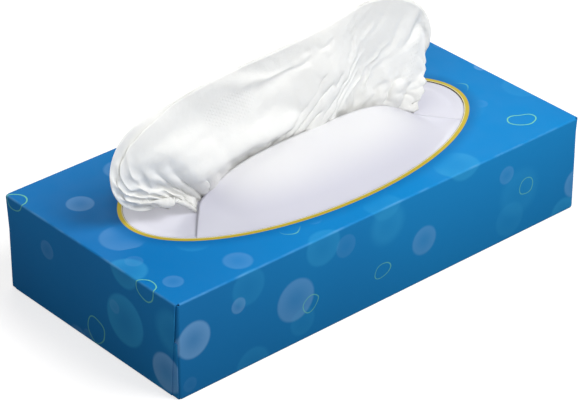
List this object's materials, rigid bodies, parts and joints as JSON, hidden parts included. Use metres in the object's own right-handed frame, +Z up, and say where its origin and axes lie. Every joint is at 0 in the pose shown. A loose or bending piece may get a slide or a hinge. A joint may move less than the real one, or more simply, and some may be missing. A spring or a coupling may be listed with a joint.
{
  "type": "tissue box",
  "caption": "Flat paperboard tissue box with an oval opening, a slit film under it and one tissue drawn up through the slit.",
  "frame": {"origin": "middle of the carton's base", "axes": "+X along the carton, +Y across it towards its back wall, +Z up"},
  "size_m": [0.23, 0.1144, 0.1061],
  "materials": {
    "printed_board": "coated board printed in blues, satin varnish",
    "film": "milky soft polyethylene film",
    "stacked_tissue": "soft uncoated tissue edges",
    "tissue": "soft two-ply tissue, matte"
  },
  "bodies": {
    "root": {"carton": "printed_board", "film_window": "film", "tissue_stack": "stacked_tissue", "drawn_tissue": "tissue"}
  },
  "joints": []
}
